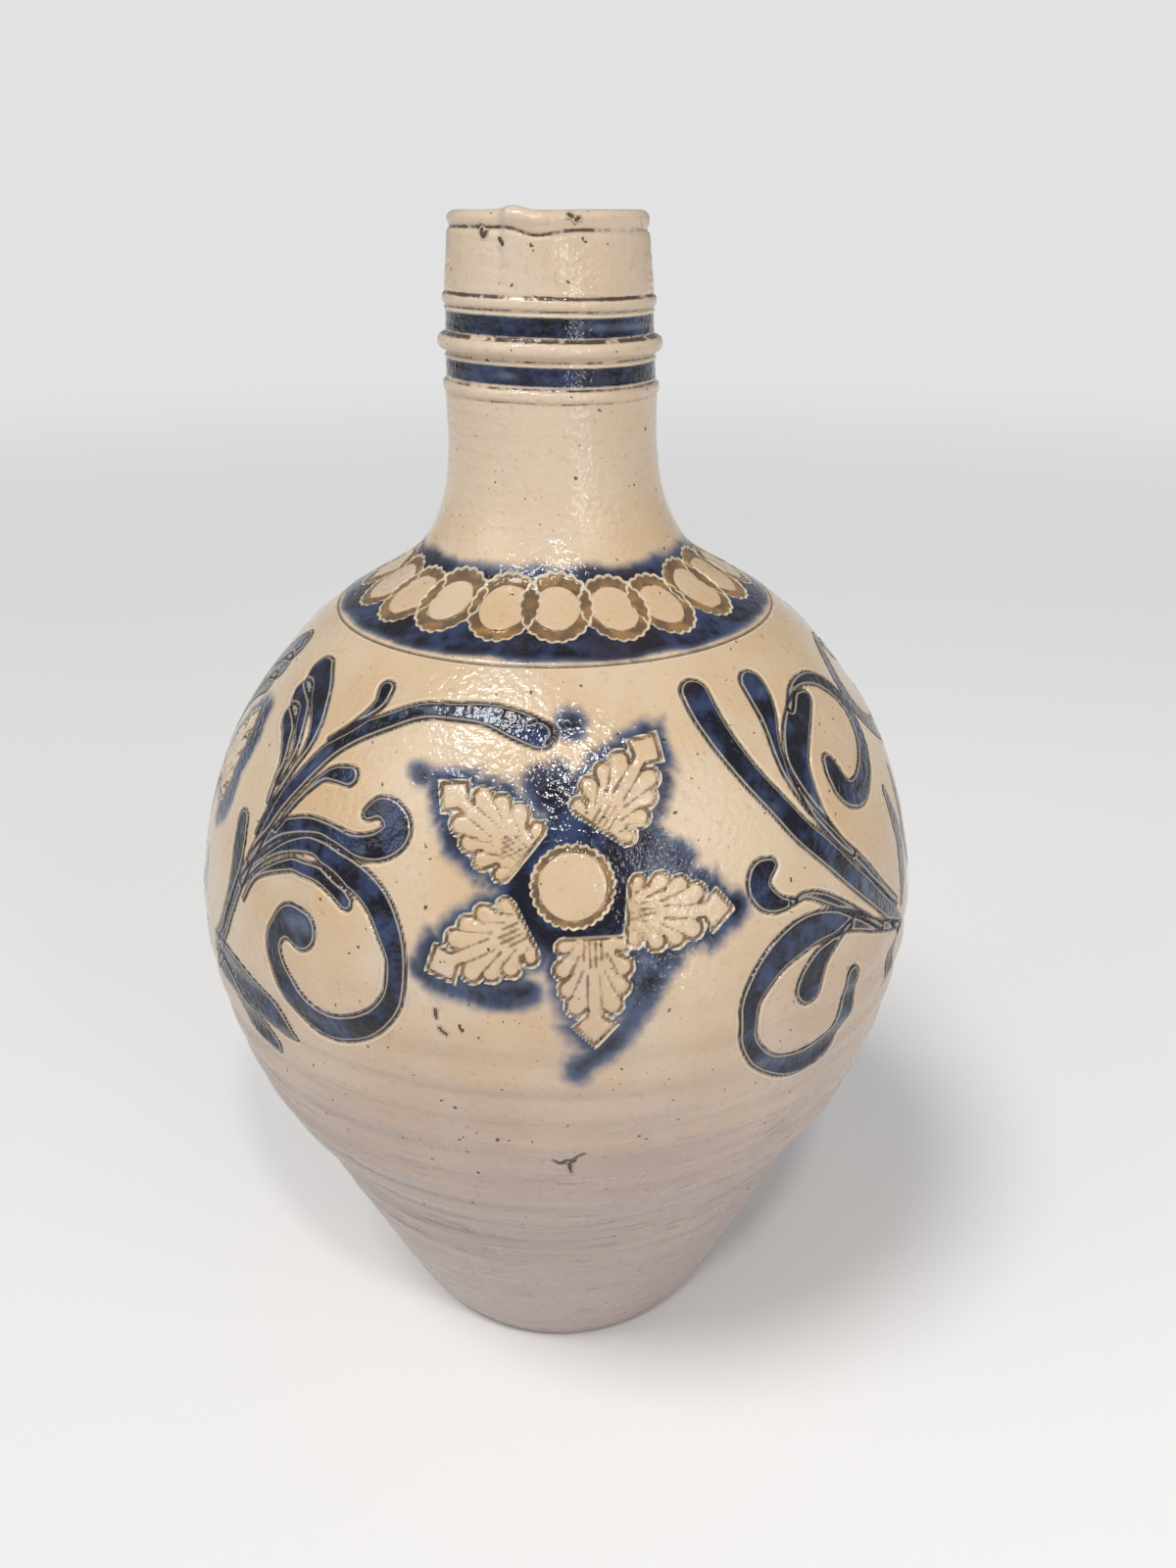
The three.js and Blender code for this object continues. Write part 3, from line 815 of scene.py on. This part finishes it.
    # Iron specks, large and small
    for size, low, high, share in specks:
        dots = board.noise(spot, size, 1, 0.4)
        clay = board.mix(dots.ramp(low, high) * share, clay, paint("speck"))
    bump = board.add("ShaderNodeBump", {"Strength": 1.0, "Distance": 0.001, "Height": lumps})
    board.out(Base_Color=clay, Roughness=roughness, Normal=bump, Specular_IOR_Level=gloss["specular"])
    return board.owner


def bareMaterial():
    # Unglazed clay under the foot and deep inside
    board = Board(bpy.data.materials.new("bareClay"))
    spot = board.place()
    grain = board.noise(spot, 1.1, 4, 0.65)
    cloudy = board.noise(spot, 18, 3, 0.55)
    tone = board.mix(cloudy.ramp(0.35, 0.7), paint("bare"), paint("lower"))
    tone = board.mix(grain.ramp(0.62, 0.8) * 0.5, tone, paint("brown"))
    bump = board.add("ShaderNodeBump", {"Strength": 0.8, "Distance": 0.0006, "Height": grain})
    board.out(Base_Color=tone, Roughness=0.62 + grain * 0.2, Normal=bump)
    return board.owner


ornamentGlaze = glazeMaterial("ornamentGlaze", True)
plainGlaze = glazeMaterial("plainGlaze", False)
bareClay = bareMaterial()
print("materials are ready")

# Belly and shoulder, in two fine parts and a coarser back
start, end = ornamentSpan
middle = (start + end) / 2
path = pathOutside(seams["foot"], seams["neck"], steps["ornament"])
spans = {"bellyLeft": (start, middle, "ornament"), "bellyRight": (middle, end, "ornament"),
         "bellyBack": (end, start + 360, "plain")}
bellyParts = [addSection(name, path, arcOf(low, high, steps[kind]))
              for name, (low, high, kind) in spans.items()]
print("belly is built")

# Foot section, down to the table. Its lowest row turns in under the foot, for the normals.
footPath = pathOutside(0.0, seams["foot"], steps["foot"])
footPath[0] = (0.0, footPath[1, 1] - 1.2)
footRing = addSection("footOutside", footPath, ringOf(turnColumns["foot"]), True)

# Neck: up the outside, over the lip and down the inside
neck = {
    "rimBase": 406.7, "rimWidth": 5.4, "rimRise": 2.9, "rimLift": 0.2, "rimSlope": 0.25, "rimRows": 15,
    "inset": 5.5, "fadeRows": 8, "fadePower": 8,
    "inside": [(385, 27.3), (360, 28.5), (342, 28.6), (330, 28.9), (318, 30.6), (308, 35.0), (302, 40.5),
               (297, 50.5), (289, 63.5), (284, 69.5)],
}


def neckPath():
    outside = pathOutside(friezeTop, neck["rimBase"], steps["neck"])[:-1]
    top = radiusAt(neck["rimBase"])
    half = neck["rimWidth"] / 2
    turns = np.linspace(0, math.pi, neck["rimRows"])[1:]
    rim = np.stack([neck["rimBase"] + neck["rimLift"] + neck["rimRise"] * np.sin(turns),
                    top - half + (half + neck["rimSlope"]) * np.cos(turns)], -1)
    inside = curveThrough([(404, top - neck["inset"]), *neck["inside"]], 3.0)
    return np.vstack([outside, rim, inside])


neckRows = neckPath()
topRow = int(np.argmax(neckRows[:, 0]))
fadeFrom = topRow - neck["fadeRows"]
outsideShare = np.ones((len(neckRows), 1))
outsideShare[fadeFrom:, 0] = np.linspace(1, 0, len(neckRows) - fadeFrom) ** neck["fadePower"]
outsideShare[topRow:] = 0
neckPiece = addSection("neck", neckRows, ringOf(turnColumns["neck"]), True, outsideShare)
friezeRows = pathOutside(seams["neck"], friezeTop, steps["frieze"])
friezePiece = addSection("neckFrieze", friezeRows, ringOf(turnColumns["frieze"]), True)
print("foot and neck are built")


def roundGrid(radii, count):
    turns = np.radians(np.arange(count) * 360 / count)
    return np.outer(radii, np.sin(turns)), -np.outer(radii, np.cos(turns))


# Inside of the belly, and the floor
floor, wall = body["floor"], body["wall"]
inner = curveThrough([(floor, 0.01), (floor + 0.4, 30), (floor + 5, 51), (40, 66.5), (100, 96.6),
                      *[(height, radiusAt(height) - wall) for height in (148, 184, 221)],
                      (242, 106.2), (258, 95.2), (272, 82.5), (284, 69.5)], 5)
innerX, innerY = roundGrid(inner[:, 1], turnColumns["inside"])
innerZ = np.broadcast_to(inner[:, :1], innerX.shape)
insidePiece = addMesh("bellyInside", np.stack([innerX, innerY, innerZ], -1), bareClay, flipped=True)

# Underside: slightly hollow, with the curved marks of the cutting wire
under = {"radius": 58.4, "hollow": 0.9, "lift": 0.2, "wire": 0.16, "wirePace": 1.9, "wireCentre": (70, -20)}
underRadii = [0.01, *np.linspace(2, under["radius"], 48)]
underX, underY = roundGrid(underRadii, turnColumns["underside"])
fromAxis = np.hypot(underX, underY)
fromWire = np.hypot(underX - under["wireCentre"][0], underY - under["wireCentre"][1])
wire = under["wire"] * np.sin(fromWire * under["wirePace"])
underZ = under["hollow"] * (1 - smooth(fromAxis, 34, 56))
underZ += (under["lift"] + wire) * (1 - smooth(fromAxis, 50, 58))
underPiece = addMesh("footUnderside", np.stack([underX, underY, underZ], -1), bareClay, flipped=True)

# Handle: a pulled strap with three grooves along its back
handle = {
    "line": [(30.5, 376.5), (54.4, 385.6), (77.5, 380.7), (89.6, 358.4), (92.0, 331.4), (89.6, 300.4),
             (86.0, 268.6)],     # distance behind the axis, and height
    "widthTop": 33, "widthFoot": 27, "thickness": 10.5, "grooves": 3, "grooveDepth": 0.8,
    "rootFlare": 3.2, "cornerAcross": 0.72, "cornerOut": 0.82, "columns": 96,
}


def addStrap():
    line = curveThrough([(a, b, 0) for a, b in handle["line"]], 1.2)[:, :2]
    along = alongOf(line)
    share = np.linspace(0, 1, len(line))
    angle = np.linspace(0, 2 * math.pi, handle["columns"], endpoint=False)
    flare = handle["rootFlare"] * (np.exp(-(share / 0.07) ** 2) + np.exp(-((1 - share) / 0.09) ** 2))
    halfWidth = (handle["widthTop"] + (handle["widthFoot"] - handle["widthTop"]) * share) / 2 + flare * 0.5
    halfThick = handle["thickness"] / 2 + flare * 0.5
    cosine, sine = np.cos(angle), np.sin(angle)
    acrossShape = np.sign(cosine) * np.abs(cosine) ** handle["cornerAcross"]
    outShape = np.sign(sine) * np.abs(sine) ** handle["cornerOut"]
    outerFace = smooth(sine, 0.15, 0.7)
    waves = 0.5 + 0.5 * np.cos(acrossShape * math.pi * handle["grooves"])
    grooves = -handle["grooveDepth"] * outerFace * waves
    # A hand-pulled strap sways and swells a little along its length
    across = np.outer(halfWidth, acrossShape) + 0.25 * np.sin(share * 23)[:, None]
    out = np.outer(halfThick, outShape) + grooves[None, :]
    out += 0.2 * np.sin(share * 31 + 1)[:, None] * outShape[None, :]
    outward = np.stack([-along[:, 1], along[:, 0]], -1)
    y = line[:, :1] + outward[:, :1] * out
    z = line[:, 1:] + outward[:, 1:] * out
    return addMesh("handleStrap", np.stack([across, y, z], -1), plainGlaze)


# Wads of clay smeared round the roots, with finger marks, each bent round a wall of the radius given
wads = {
    "handleTopWad": {"middle": (0, 34.5, 378.5), "halves": (20.6, 5.8, 10.2), "tilt": 0, "seed": 3,
                     "bend": 34},
    "handleFootWad": {"middle": (0, 92, 272), "halves": (18.6, 14.6, 6.6), "tilt": -48, "seed": 4,
                      "bend": 400},
}


def addWad(name, middle, halves, tilt, seed, bend):
    across, up = 72, 40
    turn = np.linspace(0, 2 * math.pi, across, endpoint=False)
    rise = np.linspace(-math.pi / 2, math.pi / 2, up)
    turn, rise = np.meshgrid(turn, rise)
    maker = np.random.default_rng(seed)
    dents = np.zeros_like(turn)
    waves = 6
    for _ in range(waves):
        phase = turn * maker.integers(2, 6) + rise * maker.integers(1, 4) + maker.uniform(0, 6.28)
        dents += np.sin(phase) / waves
    size = 1 + 0.06 * dents * np.cos(rise)
    x = halves[0] * size * np.cos(rise) * np.cos(turn)
    y = halves[1] * size * np.cos(rise) * np.sin(turn) - x ** 2 / (2 * bend)
    z = halves[2] * size * np.sin(rise)
    lean = math.radians(tilt)
    points = np.stack([x + middle[0], y * math.cos(lean) - z * math.sin(lean) + middle[1],
                       y * math.sin(lean) + z * math.cos(lean) + middle[2]], -1)
    return addMesh(name, points, plainGlaze)


strapPiece = addStrap()
topWad, footWad = [addWad(name, **values) for name, values in wads.items()]
print("handle is built")

# Every piece belongs to the one still body and stands for its CAD node
standsFor = {
    "foot_section": ([footRing, underPiece], "pale_stoneware"),
    "belly_section": ([*bellyParts, insidePiece], "decorated_stoneware"),
    "neck_section": ([neckPiece, friezePiece], "decorated_stoneware"),
    "handle_strap": ([strapPiece], "handle_stoneware"),
    "handle_top_wad": ([topWad], "handle_stoneware"),
    "handle_foot_wad": ([footWad], "handle_stoneware"),
}
for node, (things, slotName) in standsFor.items():
    for thing in things:
        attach(thing, "root")
        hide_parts(node)


# Floor, light and camera. Far away the floor turns into the backdrop's own plain colour.
studio = {
    "floorHalf": 30.0, "paper": (0.9, 0.9, 0.9, 1), "backdrop": (0.76, 0.76, 0.76, 1), "black": (0, 0, 0, 1),
    "fadeFrom": 900, "fadeTo": 3200, "worldStrength": 0.31,
}


def addFloor():
    size = studio["floorHalf"]
    corners = [(-size, -size, 0), (size, -size, 0), (size, size, 0), (-size, size, 0)]
    mesh = bpy.data.meshes.new("floor")
    mesh.from_pydata(corners, [], [(0, 1, 2, 3)])
    thing = addThing("floor", mesh)
    board = Board(bpy.data.materials.new("floorPaper"))
    away = board.add("ShaderNodeVectorMath", {0: board.place()}, 1, operation="LENGTH")
    far = away.ramp(studio["fadeFrom"], studio["fadeTo"])
    paper = board.mix(far, studio["paper"], studio["black"])
    glow = board.mix(far, studio["black"], studio["backdrop"])
    board.out(Base_Color=paper, Roughness=0.9, Specular_IOR_Level=0.0, Emission_Color=glow,
              Emission_Strength=1.0)
    mesh.materials.append(board.owner)


def aimed(name, lamp, direction):
    thing = addThing(name, lamp)
    thing.rotation_mode = "QUATERNION"
    thing.rotation_quaternion = direction.to_track_quat("-Z", "Y")
    return thing


def addLight(name, place, target, size, power, colour):
    lamp = bpy.data.lights.new(name, "AREA")
    lamp.shape = "ELLIPSE"
    lamp.size, lamp.size_y = size
    lamp.energy = power
    lamp.color = colour
    aimed(name, lamp, Vector(target) - Vector(place)).location = place


def addSun(name, place, strength, spread):
    lamp = bpy.data.lights.new(name, "SUN")
    lamp.energy = strength
    lamp.angle = math.radians(spread)
    aimed(name, lamp, -Vector(place))


def setWorld():
    # The camera sees the plain backdrop, and the jug is lit by a weak white
    world = bpy.data.worlds.new("studio")
    bpy.context.scene.world = world
    board = Board(world)
    soft = board.add("ShaderNodeBackground", {"Color": (1, 1, 1, 1), "Strength": studio["worldStrength"]})
    seen = board.add("ShaderNodeBackground", {"Color": studio["backdrop"]})
    rays = board.add("ShaderNodeLightPath", {}, "Is Camera Ray")
    mixed = board.add("ShaderNodeMixShader", {0: rays, 1: soft, 2: seen})
    board.links.new(mixed.socket, board.nodes["World Output"].inputs[0])


addFloor()
addLight("key", (0.25, -0.74, 1.27), (0, 0, 0.2), (0.12, 0.12), 3.6, (1.0, 0.98, 0.95))
addLight("strip", (0.74, -0.85, 0.55), (0, 0, 0.3), (0.055, 0.9), 2.1, (1.0, 0.98, 0.96))
addLight("left", (-1.1, -0.8, 1.2), (0, 0, 0.2), (0.8, 1.0), 2.9, (1.0, 0.97, 0.93))
addLight("right", (1.2, -0.7, 1.1), (0, 0, 0.2), (0.7, 0.9), 1.9, (0.97, 0.98, 1.0))
addSun("high", (-0.3, -0.4, 1.0), 1.3, 18)
setWorld()
bpy.context.scene.view_settings.view_transform = "Standard"

cameraPlace = {
    "behind": 413.6, "side": 11.3, "height": 408.8, "turn": 10.0, "pitch": 24.99, "lens": 28.125,
    "sensor": 36,
}
lens = bpy.data.cameras.new("camera")
lens.lens = cameraPlace["lens"]
lens.sensor_width = cameraPlace["sensor"]
lens.clip_start = 0.01
camera = addThing("camera", lens)
turn = math.radians(cameraPlace["turn"])
away, side = cameraPlace["behind"] * mm, cameraPlace["side"] * mm
camera.location = (side * math.cos(turn) + away * math.sin(turn),
                   side * math.sin(turn) - away * math.cos(turn), cameraPlace["height"] * mm)
camera.rotation_euler = (math.radians(90 - cameraPlace["pitch"]), 0, turn)
bpy.context.scene.camera = camera
